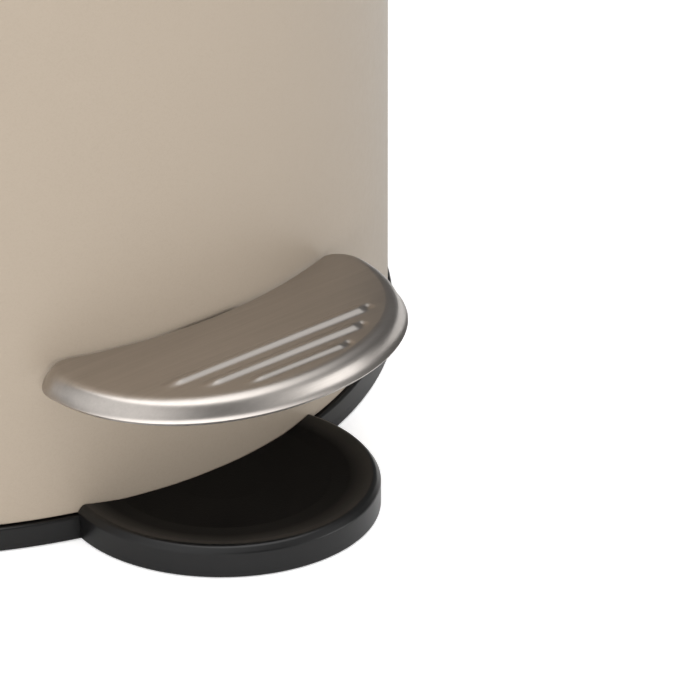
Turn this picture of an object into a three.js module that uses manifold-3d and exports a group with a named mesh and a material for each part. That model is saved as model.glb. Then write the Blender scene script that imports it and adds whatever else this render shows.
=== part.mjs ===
// A round pedal bin for the kitchen: painted steel body and lid, black moulded base with an anti-tip
// foot, a pressed steel pedal, and a push rod that opens the lid. Millimetres, +Z up, the pedal faces
// -Y, and the origin is on the floor below the axis of the body.
import * as THREE from "three";
import { mergeVertices } from "three/addons/utils/BufferGeometryUtils.js";
import Module from "manifold-3d";

const wasm = await Module();
wasm.setup();

// ---- Driving dimensions ----
const BODY_R = 146; // outer radius of the painted body
const SHEET = 0.8; // body and lid sheet
const BODY_BOTTOM = 7.2; // lower edge of the body above the floor
const BODY_TOP = 430;
const GAP = 0.4; // between pieces that touch
const ROUND = 60; // facets on the large rounds
const SMALL = 16; // facets on pins and bosses
const HOLE = 0.35; // clearance round screws, studs and rivets
const OVER = 9; // how far a cutter reaches past what it cuts

const PEDAL_TOP = 57.8; // top face of the pedal at rest
const PEDAL_SHEET = 1.4;
const LEVER = { half: 12, thick: 3 }; // pedal lever: half width and thickness of the strip
const AXLE = { y: -20, z: 24, r: 2.5 }; // pedal axle, along X

const LID_DEGREES = 80;
const ROD = { x: 6.5, y: 139, r: 2 }; // push rod, along Z
const CRANK_OFFSET = 16.4; // from the push rod back to the lid's hinge pin
const CRANK_DROP = CRANK_OFFSET * Math.tan(THREE.MathUtils.degToRad(LID_DEGREES / 2));
const HINGE = { y: ROD.y + CRANK_OFFSET, z: 438, r: 2.5 };

// ---- Finishes ----
const finish = (colour, roughness, metalness) =>
  new THREE.MeshStandardMaterial({ color: colour, roughness, metalness });
const paint = finish(0xbcae98, 0.45, 0.35);
const steel = finish(0xb9b2a8, 0.3, 1);
const zinc = finish(0x9a9c9e, 0.4, 1);
const blackPlastic = finish(0x1b1b1c, 0.5, 0);
const greyPlastic = finish(0x3a3b3d, 0.55, 0);
const nylon = finish(0xd8d6cc, 0.5, 0);
const rubber = finish(0x101010, 0.85, 0);

// ---- Solids ----
// A closed three.js geometry as a solid that can be cut and joined.
function solid(geometry) {
  const bare = geometry.clone();
  bare.deleteAttribute("normal");
  bare.deleteAttribute("uv");
  const merged = mergeVertices(bare, 1e-4);
  const mesh = new wasm.Mesh({
    numProp: 3,
    vertProperties: new Float32Array(merged.attributes.position.array),
    triVerts: new Uint32Array(merged.index.array),
  });
  return new wasm.Manifold(mesh);
}

function geometryOf(made) {
  const mesh = made.getMesh();
  const geometry = new THREE.BufferGeometry();
  geometry.setAttribute("position", new THREE.BufferAttribute(mesh.vertProperties, 3));
  geometry.setIndex(new THREE.BufferAttribute(mesh.triVerts, 1));
  return geometry;
}

const union = (...solids) => solids.reduce((whole, next) => whole.add(next));
const cut = (body, ...tools) => tools.reduce((whole, next) => whole.subtract(next), body);

// A solid of revolution about Z from [radius, height] points that run anticlockwise round the section.
function turned(points, sides = ROUND) {
  const profile = [...points, points[0]].map(([r, z]) => new THREE.Vector2(r, z));
  return solid(new THREE.LatheGeometry(profile, sides).rotateX(Math.PI / 2));
}

function block(x0, x1, y0, y1, z0, z1) {
  const box = new THREE.BoxGeometry(x1 - x0, y1 - y0, z1 - z0);
  return solid(box.translate((x0 + x1) / 2, (y0 + y1) / 2, (z0 + z1) / 2));
}

function rodX(r, x0, x1, y, z, sides = SMALL) {
  const bar = new THREE.CylinderGeometry(r, r, x1 - x0, sides).rotateZ(Math.PI / 2);
  return solid(bar.translate((x0 + x1) / 2, y, z));
}

function rodY(r, y0, y1, x, z, sides = SMALL) {
  return solid(new THREE.CylinderGeometry(r, r, y1 - y0, sides).translate(x, (y0 + y1) / 2, z));
}

function rodZ(r, z0, z1, x, y, sides = SMALL, topR = r) {
  const bar = new THREE.CylinderGeometry(topR, r, z1 - z0, sides).rotateX(Math.PI / 2);
  return solid(bar.translate(x, y, (z0 + z1) / 2));
}

// A plate in the YZ plane: an outline of [y, z] points, from x0 to x1.
function plateYZ(outline, x0, x1) {
  const shape = new THREE.Shape(outline.map(([y, z]) => new THREE.Vector2(y, z)));
  const flat = new THREE.ExtrudeGeometry(shape, { depth: x1 - x0, bevelEnabled: false });
  // The extrusion's (x, y, z) become (y, z, x).
  const toPlate = new THREE.Matrix4().set(0, 0, 1, x0, 1, 0, 0, 0, 0, 1, 0, 0, 0, 0, 0, 1);
  return solid(flat.applyMatrix4(toPlate));
}

// The outline of a strip of the given thickness along a line of [y, z] points.
function strip(line, thickness) {
  const points = line.map(([y, z]) => new THREE.Vector2(y, z));
  const side = (sign) =>
    points.map((p, i) => {
      const before = points[Math.max(i - 1, 0)];
      const after = points[Math.min(i + 1, points.length - 1)];
      const along = after.clone().sub(before).normalize();
      return [p.x - (along.y * sign * thickness) / 2, p.y + (along.x * sign * thickness) / 2];
    });
  return [...side(-1), ...side(1).reverse()];
}

const part = new THREE.Group();

function add(name, made, material, group = part) {
  const mesh = new THREE.Mesh(geometryOf(made), material);
  mesh.name = name;
  group.add(mesh);
}

// ---- Base: one black moulding with the ring under the body, the foot and the axle lugs ----
const BASE = { floor: 3, floorR: 148.3, topR: 147.4, top: BODY_BOTTOM - GAP };
const UPSTAND = { outer: 129.4, inner: 126.4, top: 12 }; // locates the flange of the body
const FOOT = { y: -151, floorR: 44.6, r: 45.2, edge: 8.4, crownR: 44, crown: 9.8, deckR: 41.5, deck: 8.6 };
const LUG = { inner: 15, outer: 21, half: 6, top: 31 };
const SCREW = { circle: 137.5, turns: [45, 135, 225, 315], head: 4, shank: 1.8 };
const PAD = { r: 11, depth: 1.8, circle: 114, turns: [30, 150, 210, 330], footY: -172 };
const STOP = { y: 45, r: 8, top: 18.1, pegR: 3, pegTop: 9 }; // rubber stop under the lever

function onCircle(radius, turn) {
  const angle = THREE.MathUtils.degToRad(turn);
  return [radius * Math.cos(angle), radius * Math.sin(angle)];
}

const padPlaces = [...PAD.turns.map((turn) => onCircle(PAD.circle, turn)), [0, PAD.footY]];

// A countersunk screw up through the ring of the base and the flange of the body.
function baseScrew(turn, clear = 0) {
  const [x, y] = onCircle(SCREW.circle, turn);
  const shank = SCREW.shank + clear;
  const head = rodZ(SCREW.head + clear, 0.2, 2.4 + clear, x, y, 12, shank);
  const rest = union(head, rodZ(shank, 1, clear ? 30 : 13, x, y, 12));
  return clear ? union(rest, rodZ(SCREW.head + clear, -1, 0.21, x, y, 12)) : rest;
}

function base() {
  const plate = turned([
    [0, 0],
    [BASE.floorR, 0],
    [BASE.topR, BASE.top],
    [UPSTAND.outer, BASE.top],
    [UPSTAND.outer, UPSTAND.top],
    [UPSTAND.inner, UPSTAND.top],
    [UPSTAND.inner, BASE.floor],
    [0, BASE.floor],
  ]);
  const foot = turned([
    [0, 0],
    [FOOT.floorR, 0],
    [FOOT.r, FOOT.edge],
    [FOOT.crownR, FOOT.crown],
    [FOOT.deckR, FOOT.deck],
    [0, FOOT.deck],
  ]).translate([0, FOOT.y, 0]);
  const bodyRoom = rodZ(BODY_R + GAP, BASE.top, 60, 0, 0, ROUND);
  const innerRoom = rodZ(UPSTAND.inner, BASE.floor, 60, 0, 0, ROUND);
  const lugs = [-LUG.outer, LUG.inner].map((x) => {
    const width = LUG.outer - LUG.inner;
    const lug = block(x, x + width, AXLE.y - LUG.half, AXLE.y + LUG.half, BASE.floor - 1, LUG.top);
    return cut(lug, rodX(AXLE.r + GAP, -30, 30, AXLE.y, AXLE.z));
  });
  const peg = rodZ(STOP.pegR, BASE.floor - 1, STOP.pegTop, 0, STOP.y);
  const pockets = padPlaces.map(([x, y]) => rodZ(PAD.r + GAP, -1, PAD.depth + GAP, x, y, 24));
  const holes = SCREW.turns.map((turn) => baseScrew(turn, HOLE));
  return cut(union(plate, cut(foot, bodyRoom, innerRoom), ...lugs, peg), ...pockets, ...holes);
}

add("base", base(), blackPlastic);
SCREW.turns.forEach((turn, i) => add("base_screw_" + (i + 1), baseScrew(turn), zinc));
padPlaces.forEach(([x, y], i) => {
  add("anti_slip_pad_" + (i + 1), rodZ(PAD.r, 0, PAD.depth, x, y, 24), rubber);
});
const stopBore = rodZ(STOP.pegR + GAP, 0, STOP.pegTop + GAP, 0, STOP.y);
add("lever_stop", cut(rodZ(STOP.r, BASE.floor + GAP, STOP.top, 0, STOP.y, 24), stopBore), rubber);

// ---- Body: a rolled steel tube with an inturned flange at its foot, the pedal slot and a rear notch ----
const FLANGE_R = 130; // inner edge of the flange
const SLOT = { half: 13.6, low: 28.4, high: 57.4 };
const NOTCH = { half: 10.5, low: 417 };
const RIVET = { r: 2, headR: 3.8, head: 1.3 };
const GUIDE = { z: 250, half: 7, tall: 7, front: 134.4, back: 144.2 };
const BRACKET = { half: 24, low: 392, high: 416, thick: 2, rivetX: 17.5, rivetZ: 404 };

function bodyShell() {
  const inner = BODY_R - SHEET;
  const tube = turned([
    [FLANGE_R, BODY_BOTTOM],
    [BODY_R, BODY_BOTTOM],
    [BODY_R, BODY_TOP],
    [inner, BODY_TOP],
    [inner, BODY_BOTTOM + SHEET],
    [FLANGE_R, BODY_BOTTOM + SHEET],
  ]);
  const slot = block(-SLOT.half, SLOT.half, -BODY_R - 5, -BODY_R + 15, SLOT.low, SLOT.high);
  const notch = block(-NOTCH.half, NOTCH.half, BODY_R - 15, BODY_R + 5, NOTCH.low, BODY_TOP + 5);
  const guideHole = rodY(RIVET.r + HOLE, BODY_R - OVER, BODY_R + OVER, ROD.x, GUIDE.z);
  const bracketHoles = [-1, 1].map((side) =>
    rodY(RIVET.r + HOLE, BODY_R - OVER, BODY_R + OVER, side * BRACKET.rivetX, BRACKET.rivetZ),
  );
  const screwHoles = SCREW.turns.map((turn) => baseScrew(turn, HOLE));
  return cut(tube, slot, notch, guideHole, ...bracketHoles, ...screwHoles);
}

add("body_shell", bodyShell(), paint);

// ---- Hinge bracket: a pressed steel bracket riveted to the back of the body ----
const EAR = { inner: 9.2, outer: 11.4, r: 6 };

function hingeBracket() {
  const inside = BODY_R + 0.35;
  const outside = inside + BRACKET.thick;
  const ring = turned([
    [inside, BRACKET.low],
    [outside, BRACKET.low],
    [outside, BRACKET.high],
    [inside, BRACKET.high],
  ]);
  const backPlate = ring.intersect(block(-BRACKET.half, BRACKET.half, 100, 200, 300, 500));
  const outline = [
    [inside, BRACKET.low + 3],
    [inside + 3.5, BRACKET.low + 1],
    [HINGE.y + EAR.r - 0.3, HINGE.z - 3],
    [HINGE.y - EAR.r + 0.3, HINGE.z - 3],
    [inside, BRACKET.high],
  ];
  const ears = [-EAR.outer, EAR.inner].map((x) => {
    const wide = EAR.outer - EAR.inner;
    return union(plateYZ(outline, x, x + wide), rodX(EAR.r, x, x + wide, HINGE.y, HINGE.z, 24));
  });
  const pinHole = rodX(HINGE.r + GAP, -30, 30, HINGE.y, HINGE.z);
  const rivetHoles = [-1, 1].map((side) =>
    rodY(RIVET.r + HOLE, BODY_R - OVER, BODY_R + OVER, side * BRACKET.rivetX, BRACKET.rivetZ),
  );
  return cut(union(backPlate, ...ears), pinHole, ...rivetHoles);
}

// A rivet along Y, from its tail inside to its head outside.
function rivet(x, z, tail, face) {
  const shank = rodY(RIVET.r, tail, face + 0.5, x, z);
  return union(shank, rodY(RIVET.headR, face + 0.3, face + RIVET.head, x, z));
}

add("hinge_bracket", hingeBracket(), steel);
for (const side of [-1, 1]) {
  const x = side * BRACKET.rivetX;
  const headFace = BODY_R + 0.35 + BRACKET.thick;
  const tail = rodY(RIVET.headR, BODY_R - SHEET - 4.2, BODY_R - SHEET - 2.4, x, BRACKET.rivetZ);
  const made = union(rivet(x, BRACKET.rivetZ, BODY_R - SHEET - 3, headFace), tail);
  add(side < 0 ? "bracket_rivet_left" : "bracket_rivet_right", made, zinc);
}
const pinEnds = [-1, 1].map((side) => {
  const x = side < 0 ? -EAR.outer - 2 : EAR.outer + 0.4;
  return rodX(HINGE.r + 1.5, x, x + 1.6, HINGE.y, HINGE.z);
});
add("hinge_pin", union(rodX(HINGE.r, -EAR.outer - 1, EAR.outer + 1, HINGE.y, HINGE.z), ...pinEnds), zinc);

// ---- Top rim: a moulded ring clipped over the top of the body, open at the back for the hinge ----
const RIM = { top: 433, lip: 418, inner: 129.5, gap: 12 };

function topRim() {
  const ring = turned([
    [RIM.inner, RIM.top - 2.2],
    [BODY_R - SHEET - 2.6, RIM.top - 2.2],
    [BODY_R - SHEET - 2.6, RIM.lip],
    [BODY_R - SHEET - 0.6, RIM.lip],
    [BODY_R - SHEET - 0.6, BODY_TOP + GAP],
    [BODY_R + 0.3, BODY_TOP + GAP],
    [BODY_R + 0.3, RIM.top - 0.8],
    [BODY_R - 0.5, RIM.top],
    [RIM.inner, RIM.top],
  ]);
  return cut(ring, block(-RIM.gap, RIM.gap, 100, 200, RIM.lip - 5, RIM.top + 5));
}

add("top_rim", topRim(), greyPlastic);

// ---- Inner bucket: hangs by its flange on the top rim ----
const BUCKET = { bottom: 62, bottomR: 117, topR: 126.8, wall: 2, flangeR: 138, flange: 2 };
const HAND_HOLE = { half: 42, low: 398, high: 420 };
const bucketTop = RIM.top + GAP + BUCKET.flange;

function bucket() {
  const pail = turned([
    [0, BUCKET.bottom],
    [BUCKET.bottomR - 5, BUCKET.bottom],
    [BUCKET.bottomR, BUCKET.bottom + 5],
    [BUCKET.topR, bucketTop - BUCKET.flange],
    [BUCKET.flangeR, bucketTop - BUCKET.flange],
    [BUCKET.flangeR, bucketTop],
    [BUCKET.topR - BUCKET.wall, bucketTop],
    [BUCKET.bottomR - BUCKET.wall, BUCKET.bottom + 6],
    [BUCKET.bottomR - 6, BUCKET.bottom + BUCKET.wall],
    [0, BUCKET.bottom + BUCKET.wall],
  ]);
  const flat = block(-20, 20, BUCKET.topR + 0.8, 200, bucketTop - 5, bucketTop + 5);
  const holes = block(-200, 200, -HAND_HOLE.half, HAND_HOLE.half, HAND_HOLE.low, HAND_HOLE.high);
  return cut(pail, flat, holes);
}

add("inner_bucket", bucket(), greyPlastic);

// ---- Pedal: a pressed plate with a turned-down edge and three ribs, on studs ----
const PLATE = { half: 55.7, front: 191, corner: 6.5, rearR: 147.4 };
const SKIRT = { half: 59, front: 195.2, corner: 8, deep: 5.8 };
const PEDAL_WALL = PEDAL_SHEET - 0.6; // thinned edge, which flares
const PLAN_POWER = 0.95; // a little squarer than an ellipse
const RIBS = [
  { y: -170.5, half: 36.5 },
  { y: -177.6, half: 28 },
  { y: -184.8, half: 17.5 },
];
const RIB = { r: 5, proud: 1 };
const STUD = { r: 2, places: [-158, -172], bottom: PEDAL_TOP - 9 };
const NUT = { r: 4, tall: 3 };

// The pedal in plan: a blunt half ellipse in front, round corners, and a hollow back round the body.
function pedalPlan(half, front, rearR, corner) {
  const cornerX = half - corner;
  const cornerY = -Math.sqrt((rearR + corner) ** 2 - cornerX ** 2);
  const reach = front + cornerY;
  const toAxis = Math.atan2(cornerY, cornerX);
  const points = [];
  const steps = 32;
  for (let i = 0; i <= steps; i++) {
    const t = Math.PI * (1 + i / steps);
    const [c, s] = [Math.cos(t), Math.sin(t)];
    const x = half * Math.sign(c) * Math.abs(c) ** PLAN_POWER;
    points.push([x, cornerY - reach * Math.abs(s) ** PLAN_POWER]);
  }
  for (let i = 1; i <= 4; i++) {
    const t = ((Math.PI + toAxis) * i) / 4;
    points.push([cornerX + corner * Math.cos(t), cornerY + corner * Math.sin(t)]);
  }
  const from = toAxis;
  const to = -Math.PI - toAxis;
  for (let i = 1; i < 12; i++) {
    const t = from + ((to - from) * i) / 12;
    points.push([rearR * Math.cos(t), rearR * Math.sin(t)]);
  }
  for (let i = 4; i >= 1; i--) {
    const t = ((Math.PI + toAxis) * i) / 4;
    points.push([-cornerX - corner * Math.cos(t), cornerY + corner * Math.sin(t)]);
  }
  return points;
}

// A solid between two outlines with the same number of points, one above the other.
function loft(lower, zLow, upper, zHigh) {
  const count = lower.length;
  const ring = (outline, z) => outline.map(([x, y]) => [x, y, z]);
  const corners = [...ring(lower, zLow), ...ring(upper, zHigh)];
  const flat = (outline) => outline.map(([x, y]) => new THREE.Vector2(x, y));
  const index = [];
  for (const [a, b, c] of THREE.ShapeUtils.triangulateShape(flat(lower), [])) index.push(a, c, b);
  for (const [a, b, c] of THREE.ShapeUtils.triangulateShape(flat(upper), [])) {
    index.push(a + count, b + count, c + count);
  }
  for (let i = 0; i < count; i++) {
    const next = (i + 1) % count;
    index.push(i, next, count + next, i, count + next, count + i);
  }
  const geometry = new THREE.BufferGeometry();
  geometry.setAttribute("position", new THREE.Float32BufferAttribute(corners.flat(), 3));
  geometry.setIndex(index);
  return solid(geometry);
}

function pedalPlate() {
  const { half, front, corner, rearR } = PLATE;
  const outer = loft(
    pedalPlan(SKIRT.half, SKIRT.front, rearR, SKIRT.corner),
    PEDAL_TOP - SKIRT.deep,
    pedalPlan(half, front, rearR, corner),
    PEDAL_TOP,
  );
  const hollow = loft(
    pedalPlan(SKIRT.half - PEDAL_WALL, SKIRT.front - PEDAL_WALL, rearR - OVER, SKIRT.corner),
    PEDAL_TOP - SKIRT.deep - 1,
    pedalPlan(half - PEDAL_SHEET, front - PEDAL_SHEET, rearR - OVER, corner),
    PEDAL_TOP - PEDAL_SHEET,
  );
  const ribs = RIBS.map(({ y, half: length }) => {
    const bar = rodX(RIB.r, -length, length, y, PEDAL_TOP + RIB.proud - RIB.r, 12);
    return bar.intersect(block(-100, 100, -200, -100, PEDAL_TOP - 0.5, PEDAL_TOP + 5));
  });
  const studs = STUD.places.map((y) => rodZ(STUD.r, STUD.bottom, PEDAL_TOP - 0.5, 0, y, 12));
  return union(cut(outer, hollow), ...ribs, ...studs);
}

const pedal = new THREE.Group();
part.add(pedal);
add("pedal_plate", pedalPlate(), steel, pedal);

const seatZ = PEDAL_TOP - PEDAL_SHEET - 0.3 - LEVER.thick / 2;
STUD.places.forEach((y, i) => {
  const top = seatZ - LEVER.thick / 2 - 0.3;
  const nut = cut(rodZ(NUT.r, top - NUT.tall, top, 0, y, 6), rodZ(STUD.r + HOLE, 40, 70, 0, y, 12));
  add("pedal_nut_" + (i + 1), nut, zinc, pedal);
});

// ---- Pedal lever: one strip of steel from the pedal through the slot to under the push rod ----
const LEVER_REAR = { y: 141, z: 15 };
const BOSS_R = 5.5;

function pedalLever() {
  const line = [
    [-182, seatZ],
    [-152, seatZ],
    [AXLE.y, AXLE.z],
    [LEVER_REAR.y, LEVER_REAR.z],
  ];
  const bar = plateYZ(strip(line, LEVER.thick), -LEVER.half, LEVER.half);
  const boss = rodX(BOSS_R, -LUG.inner + 0.6, LUG.inner - 0.6, AXLE.y, AXLE.z, 24);
  const bore = rodX(AXLE.r + GAP, -30, 30, AXLE.y, AXLE.z);
  const studHoles = STUD.places.map((y) => rodZ(STUD.r + HOLE, 40, 80, 0, y, 12));
  return cut(union(bar, boss), bore, ...studHoles);
}

add("pedal_lever", pedalLever(), zinc, pedal);
add("pedal_axle", rodX(AXLE.r, -LUG.outer - 3.4, LUG.outer + 3.4, AXLE.y, AXLE.z), zinc);
for (const side of [-1, 1]) {
  const x = side < 0 ? -LUG.outer - 2 : LUG.outer + 0.6;
  const ring = rodX(5.4, x, x + 1.4, AXLE.y, AXLE.z, 24);
  const mouth = block(x - 1, x + 3, AXLE.y - 1.9, AXLE.y + 1.9, AXLE.z - 8, AXLE.z);
  const clip = cut(ring, rodX(AXLE.r + 0.3, x - 1, x + 3, AXLE.y, AXLE.z), mouth);
  add(side < 0 ? "axle_clip_left" : "axle_clip_right", clip, zinc);
}

// ---- Push rod: from the lever up the back of the body to the crank of the lid ----
const leverTopAtRod = LEVER_REAR.z + LEVER.thick / 2 + 0.13;
const ROD_FOOT = { r: 4, bottom: leverTopAtRod + 0.5, tall: 9, socket: 3 };
const CRANK_PIN = { y: ROD.y, z: HINGE.z - CRANK_DROP, r: 1.8 };
const EYE = { front: 9.4, back: 4.3, tall: 5.6, slot: 2.9, wall: 2.1, half: 1.8 };

function pushRod() {
  const { y, z } = CRANK_PIN;
  const bar = rodZ(ROD.r, ROD_FOOT.bottom + ROD_FOOT.socket, z - EYE.tall + 1, ROD.x, ROD.y);
  const [left, right] = [ROD.x - EYE.half, ROD.x + EYE.half];
  const eye = block(left, right, y - EYE.front, y + EYE.back, z - EYE.tall, z + EYE.tall);
  const slotFrom = y - EYE.front + EYE.wall;
  const slotTo = y + EYE.back - EYE.wall + 0.2;
  return cut(union(bar, eye), block(0, 20, slotFrom, slotTo, z - EYE.slot, z + EYE.slot));
}

const rod = new THREE.Group();
part.add(rod);
add("push_rod", pushRod(), zinc, rod);
const footTop = ROD_FOOT.bottom + ROD_FOOT.tall;
const socket = rodZ(ROD.r + 0.3, ROD_FOOT.bottom + ROD_FOOT.socket - 0.3, footTop + 1, ROD.x, ROD.y);
add("rod_foot", cut(rodZ(ROD_FOOT.r, ROD_FOOT.bottom, footTop, ROD.x, ROD.y, 20), socket), nylon, rod);

function rodGuide() {
  const x0 = ROD.x - GUIDE.half;
  const x1 = ROD.x + GUIDE.half;
  const body = block(x0, x1, GUIDE.front, GUIDE.back, GUIDE.z - GUIDE.tall, GUIDE.z + GUIDE.tall);
  const bore = rodZ(ROD.r + 0.5, GUIDE.z - 20, GUIDE.z + 20, ROD.x, ROD.y);
  return cut(body, bore, rodY(RIVET.r + HOLE, ROD.y + ROD.r + 0.9, 160, ROD.x, GUIDE.z));
}

add("rod_guide", rodGuide(), nylon);
add("guide_rivet", rivet(ROD.x, GUIDE.z, ROD.y + ROD.r + 1.2, BODY_R), zinc);

// ---- Lid: a pressed steel dome with a rolled skirt, its arm, crank pin and rubber bumpers ----
const LID = { r: 148, skirtLow: 431.6, skirtHigh: 440.5, shoulderR: 141, shoulderZ: 448.3, top: 457 };
const domeHeight = (r) => LID.top - (LID.top - LID.shoulderZ) * (r / LID.shoulderR) ** 2;
const ARM = { half: 3, flangeHalf: 14, flangeFrom: 94, flangeTo: 134, thick: 2 };
const LID_STUD = { r: 2, tall: 7.6, places: [102, 122] };

// The section of the lid's skin, moved inwards by the given thickness.
function lidSection(inset) {
  const points = [[LID.r - inset, LID.skirtLow], [LID.r - inset, LID.skirtHigh]];
  const [dr, dz] = [LID.r - LID.shoulderR, LID.shoulderZ - LID.skirtHigh];
  for (const turn of [20, 45, 70]) {
    const [c, s] = onCircle(1, turn);
    points.push([LID.shoulderR + (dr - inset) * c, LID.skirtHigh + (dz - inset) * s]);
  }
  for (const r of [LID.shoulderR, 110, 75, 40]) points.push([r, domeHeight(r) - inset]);
  points.push([0, LID.top - inset]);
  return points;
}

function lidShell() {
  const shell = turned([...lidSection(0), ...lidSection(SHEET).reverse()]);
  const armNotch = block(-ARM.half - GAP, ARM.half + GAP, LID.r - 12, LID.r + 5, 420, 445);
  const studs = LID_STUD.places.map((y) => {
    const top = domeHeight(y) - 0.4;
    return rodZ(LID_STUD.r, top - LID_STUD.tall, top, 0, y, 12);
  });
  return union(cut(shell, armNotch), ...studs);
}

const lid = new THREE.Group();
part.add(lid);
add("lid_shell", lidShell(), paint, lid);

const armLine = (y) => domeHeight(y) - SHEET - 0.5 - ARM.thick / 2;

function lidArm() {
  const { flangeFrom, flangeTo } = ARM;
  const flangeLine = [
    [flangeFrom, armLine(flangeFrom)],
    [flangeTo, armLine(flangeTo)],
  ];
  const flange = plateYZ(strip(flangeLine, ARM.thick), -ARM.flangeHalf, ARM.flangeHalf);
  const web = [
    [flangeTo - 6, armLine(flangeTo) - 4],
    [flangeTo + 2, armLine(flangeTo) - 8],
    [CRANK_PIN.y - 4.5, CRANK_PIN.z + 6],
    [CRANK_PIN.y - 4.4, CRANK_PIN.z],
    [CRANK_PIN.y + 3, CRANK_PIN.z - 3.2],
    [HINGE.y + 3, HINGE.z - 5],
    [HINGE.y, HINGE.z + 5.6],
    [LID.shoulderR + 1, HINGE.z + 5.6],
    [flangeTo - 1, armLine(flangeTo)],
    [flangeTo - 8, armLine(flangeTo - 8)],
  ];
  const plate = plateYZ(web, -ARM.half, ARM.half);
  const boss = rodX(EAR.r, -EAR.inner + 0.5, EAR.inner - 0.5, HINGE.y, HINGE.z, 24);
  const crankEnd = rodX(4.4, -ARM.half, ARM.half, CRANK_PIN.y, CRANK_PIN.z, 24);
  const bore = rodX(HINGE.r + GAP, -30, 30, HINGE.y, HINGE.z);
  const crankBore = rodX(CRANK_PIN.r + HOLE, -30, 30, CRANK_PIN.y, CRANK_PIN.z);
  const studHoles = LID_STUD.places.map((y) => rodZ(LID_STUD.r + HOLE, 400, 500, 0, y, 12));
  return cut(union(flange, plate, boss, crankEnd), bore, crankBore, ...studHoles);
}

function crankPin() {
  const { y, z, r } = CRANK_PIN;
  const shank = rodX(r, -ARM.half - 1, ROD.x + EYE.half + 1.4, y, z);
  const head = rodX(r + 1.2, -ARM.half - 1.8, -ARM.half - 0.35, y, z);
  const collar = rodX(r + 1.2, ROD.x + EYE.half + 0.6, ROD.x + EYE.half + 1.8, y, z);
  return union(shank, head, collar);
}

add("lid_arm", lidArm(), steel, lid);
add("crank_pin", crankPin(), zinc, lid);
LID_STUD.places.forEach((y, i) => {
  const top = armLine(y) - ARM.thick / 2 - 0.6;
  const nut = cut(rodZ(NUT.r, top - NUT.tall, top, 0, y, 6), rodZ(LID_STUD.r + 0.3, 400, 500, 0, y, 12));
  add("lid_nut_" + (i + 1), nut, zinc, lid);
});
for (const [i, turn] of [35, 145, 270].entries()) {
  const [x, y] = onCircle(143, turn);
  add("lid_bumper_" + (i + 1), rodZ(3, RIM.top + GAP, 443, x, y, 16), rubber, lid);
}

export default part;
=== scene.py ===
import math

import bmesh
import bpy
from mathutils import Matrix, Vector
from mathutils.geometry import delaunay_2d_cdt


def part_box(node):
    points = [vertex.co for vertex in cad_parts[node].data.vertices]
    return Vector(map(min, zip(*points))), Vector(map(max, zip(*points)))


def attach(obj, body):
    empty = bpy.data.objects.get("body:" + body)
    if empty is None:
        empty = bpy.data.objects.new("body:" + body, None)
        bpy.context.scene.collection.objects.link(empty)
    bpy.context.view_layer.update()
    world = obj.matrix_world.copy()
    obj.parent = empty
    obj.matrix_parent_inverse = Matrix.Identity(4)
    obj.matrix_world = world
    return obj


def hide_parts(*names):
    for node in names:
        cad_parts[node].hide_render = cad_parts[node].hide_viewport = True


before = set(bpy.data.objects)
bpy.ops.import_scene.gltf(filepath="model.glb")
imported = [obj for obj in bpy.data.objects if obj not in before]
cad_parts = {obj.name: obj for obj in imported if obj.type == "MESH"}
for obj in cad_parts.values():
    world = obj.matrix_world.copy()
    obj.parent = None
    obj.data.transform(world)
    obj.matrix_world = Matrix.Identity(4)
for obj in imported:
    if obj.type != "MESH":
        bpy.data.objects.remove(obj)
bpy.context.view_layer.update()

# ---- Base ----
# One black moulding under the whole bin: the ring that the body stands in, the half-round foot in front
# that stops the bin tipping when the pedal is pressed, and the lugs for the pedal's axle inside.
MM = 0.001


def box(node):
    """A node's lowest and highest corner, in millimetres."""
    return [Vector(corner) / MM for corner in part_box(node)]


def middle_of(node):
    """The middle of a node's box, in millimetres."""
    low, high = box(node)
    return (low + high) / 2


def rounded(corners, steps=5):
    """A closed outline through (x, y) and (x, y, radius) corners, each rounded to its own radius."""
    points = [Vector(c[:2]) for c in corners]
    outline = []
    for i, corner in enumerate(corners):
        here = points[i]
        if len(corner) == 2:
            outline.append(here)
            continue
        back = points[i - 1] - here
        ahead = points[(i + 1) % len(points)] - here
        half = back.angle(ahead) / 2
        reach = min(corner[2] / math.tan(half), 0.49 * back.length, 0.49 * ahead.length)
        radius = reach * math.tan(half)
        middle = here + (back.normalized() + ahead.normalized()).normalized() * radius / math.sin(half)
        start = here + back.normalized() * reach - middle
        end = here + ahead.normalized() * reach - middle
        sweep = start.angle_signed(end)
        for step in range(steps + 1):
            turn = Matrix.Rotation(-sweep * step / steps, 2)
            outline.append(middle + turn @ start)
    return outline


def piece(name, bm):
    """A new object from mesh work in millimetres."""
    bmesh.ops.remove_doubles(bm, verts=bm.verts, dist=1e-4)
    bmesh.ops.recalc_face_normals(bm, faces=bm.faces)
    bmesh.ops.scale(bm, vec=(MM, MM, MM), verts=bm.verts)
    mesh = bpy.data.meshes.new(name)
    bm.to_mesh(mesh)
    bm.free()
    made = bpy.data.objects.new(name, mesh)
    bpy.context.scene.collection.objects.link(made)
    return made


def turned(name, corners, sides=192, steps=5, centre=(0, 0)):
    """A solid of revolution about an upright axis from (radius, height[, rounding]) corners."""
    bm = bmesh.new()
    rings = []
    for r, z in rounded(corners, steps):
        if r < 1e-6:
            rings.append([bm.verts.new((centre[0], centre[1], z))] * sides)
            continue
        angles = [2 * math.pi * (i + 0.5) / sides for i in range(sides)]
        at = [(centre[0] + r * math.cos(t), centre[1] + r * math.sin(t), z) for t in angles]
        rings.append([bm.verts.new(point) for point in at])
    for low, high in zip(rings, rings[1:] + rings[:1]):
        for i in range(sides):
            j = (i + 1) % sides
            face = list(dict.fromkeys([low[i], low[j], high[j], high[i]]))
            if len(face) > 2:
                bm.faces.new(face)
    return piece(name, bm)


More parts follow.
